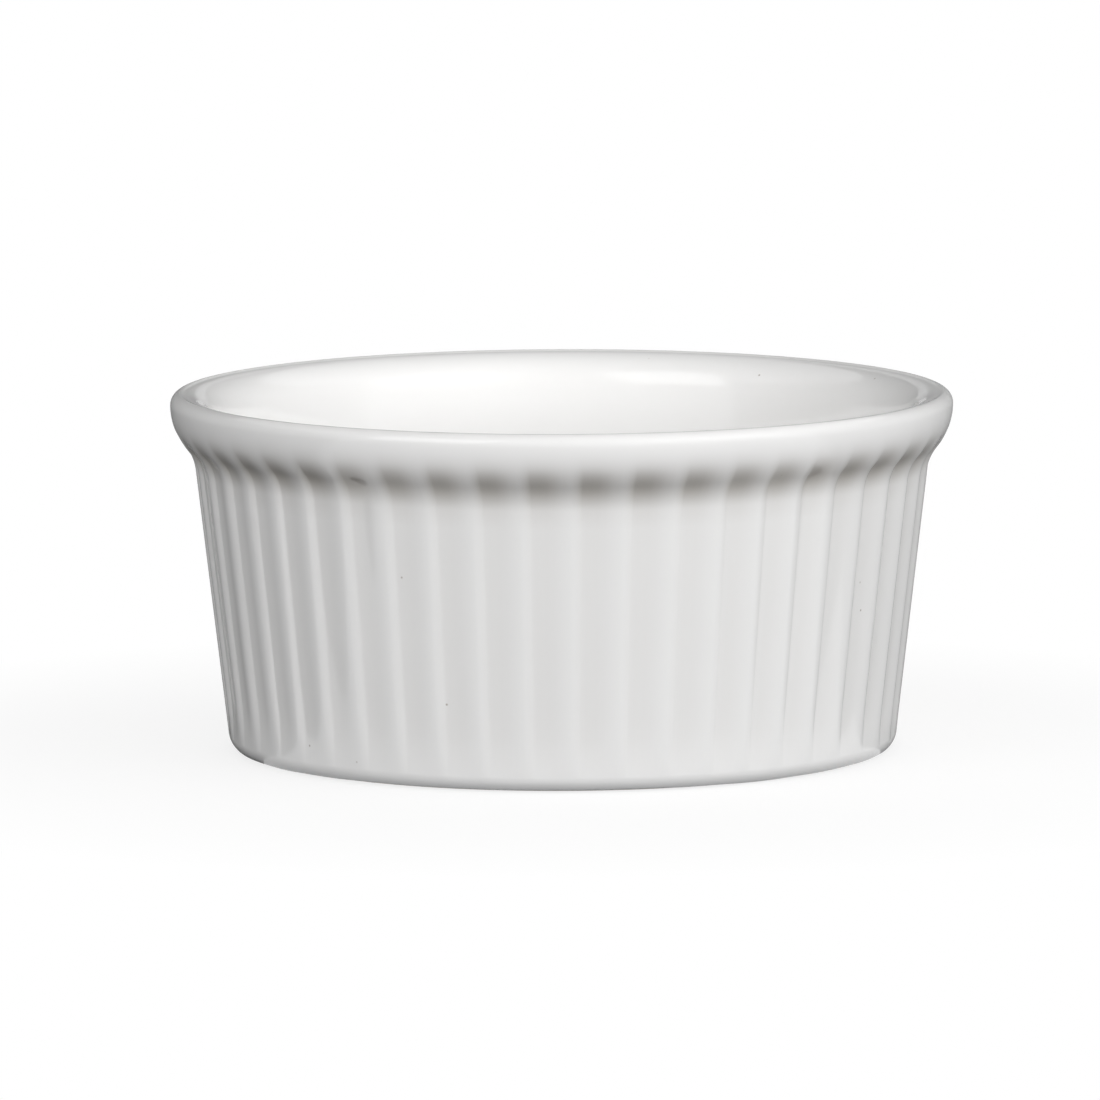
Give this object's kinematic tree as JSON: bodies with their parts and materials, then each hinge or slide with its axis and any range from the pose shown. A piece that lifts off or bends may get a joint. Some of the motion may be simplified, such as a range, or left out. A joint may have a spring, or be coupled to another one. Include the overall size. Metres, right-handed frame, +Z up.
{
  "type": "ramekin",
  "caption": "Round fluted porcelain ramekin with a flared wall, rolled rim, glossy white glaze and a dry foot ring, for baking and serving single portions.",
  "frame": {"origin": "on the dish's axis, in the plane of the foot ring that it stands on", "axes": "+Z up along the dish's axis; a flute is centred on +X"},
  "size_m": [0.09, 0.09, 0.0412],
  "materials": {
    "porcelain": "matt fired porcelain, fine grained",
    "glaze": "gloss white glaze"
  },
  "bodies": {
    "root": {"porcelain_body": "porcelain", "glaze_coat": "glaze", "base_glaze": "glaze"}
  },
  "joints": []
}
